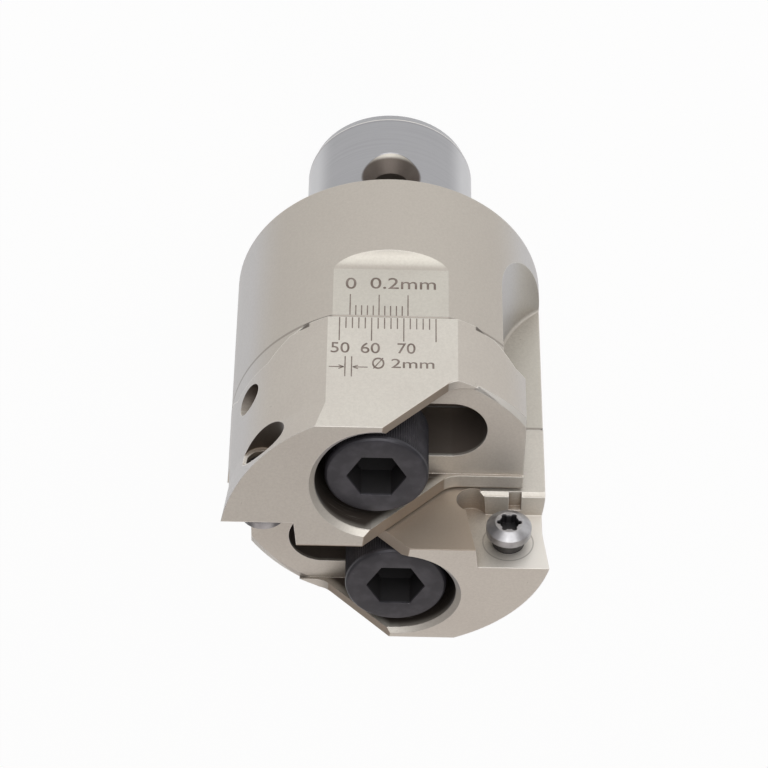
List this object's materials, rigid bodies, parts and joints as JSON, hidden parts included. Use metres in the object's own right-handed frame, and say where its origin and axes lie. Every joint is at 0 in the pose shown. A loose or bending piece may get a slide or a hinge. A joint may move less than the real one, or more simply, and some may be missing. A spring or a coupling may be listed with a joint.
{
  "type": "twin-cutter boring head",
  "caption": "Boring head on a cylindrical pilot, with opposed insert holders that slide outwards on rails and are set by screws and clamped by socket cap screws.",
  "frame": {"origin": "centre of the flange face that the pilot stands out of", "axes": "+Z along the tool axis towards the cutting end, -Y towards the scale of the front holder, +X outwards along the front holder's slide"},
  "size_m": [0.0512, 0.05, 0.089],
  "materials": {
    "plated_steel": "satin nickel plating, fine blasted grain",
    "black_steel": "black oxide",
    "grey_steel": "phosphated, gun-metal grey"
  },
  "bodies": {
    "head": {"head_body": "plated_steel"},
    "holder_front": {"insert_holder_front": "plated_steel"},
    "holder_rear": {"insert_holder_rear": "plated_steel"},
    "clamp_front": {"clamp_screw_front": "black_steel"},
    "clamp_rear": {"clamp_screw_rear": "black_steel"},
    "adjuster_front": {"adjusting_screw_front": "black_steel"},
    "adjuster_rear": {"adjusting_screw_rear": "black_steel"},
    "insert_lock_front": {"insert_screw_front": "grey_steel"},
    "insert_lock_rear": {"insert_screw_rear": "grey_steel"}
  },
  "joints": [
    {"name": "holder_front_slide", "type": "slide", "parent": "head", "child": "holder_front", "axis": [1, 0, 0], "range_m": [0, 0.0095]},
    {"name": "holder_rear_slide", "type": "slide", "parent": "head", "child": "holder_rear", "axis": [-1, 0, 0], "range_m": [0, 0.0095]},
    {"name": "clamp_front_turn", "type": "hinge", "parent": "head", "child": "clamp_front", "pos_m": [0.00175, -0.01215, 0.0451], "axis": [0, 0, 1], "range_deg": [0, 360]},
    {"name": "clamp_rear_turn", "type": "hinge", "parent": "head", "child": "clamp_rear", "pos_m": [-0.00175, 0.01215, 0.0451], "axis": [0, 0, 1], "range_deg": [0, 360]},
    {"name": "adjuster_front_turn", "type": "hinge", "parent": "head", "child": "adjuster_front", "pos_m": [0.01328, -0.01215, 0.0393], "axis": [-1, 0, 0], "range_deg": [0, 4275]},
    {"name": "adjuster_rear_turn", "type": "hinge", "parent": "head", "child": "adjuster_rear", "pos_m": [-0.01328, 0.01215, 0.0393], "axis": [1, 0, 0], "range_deg": [0, 4275]},
    {"name": "insert_screw_front_turn", "type": "hinge", "parent": "holder_front", "child": "insert_lock_front", "pos_m": [0.0192, -0.00455, 0.0529], "axis": [0, 1, 0], "range_deg": [0, 360]},
    {"name": "insert_screw_rear_turn", "type": "hinge", "parent": "holder_rear", "child": "insert_lock_rear", "pos_m": [-0.0192, 0.00455, 0.0529], "axis": [0, -1, 0], "range_deg": [0, 360]}
  ],
  "couplings": [
    {"joint": "adjuster_front_turn", "follows": "holder_front_slide", "rad_per_m": 7854},
    {"joint": "adjuster_rear_turn", "follows": "holder_rear_slide", "rad_per_m": 7854}
  ]
}
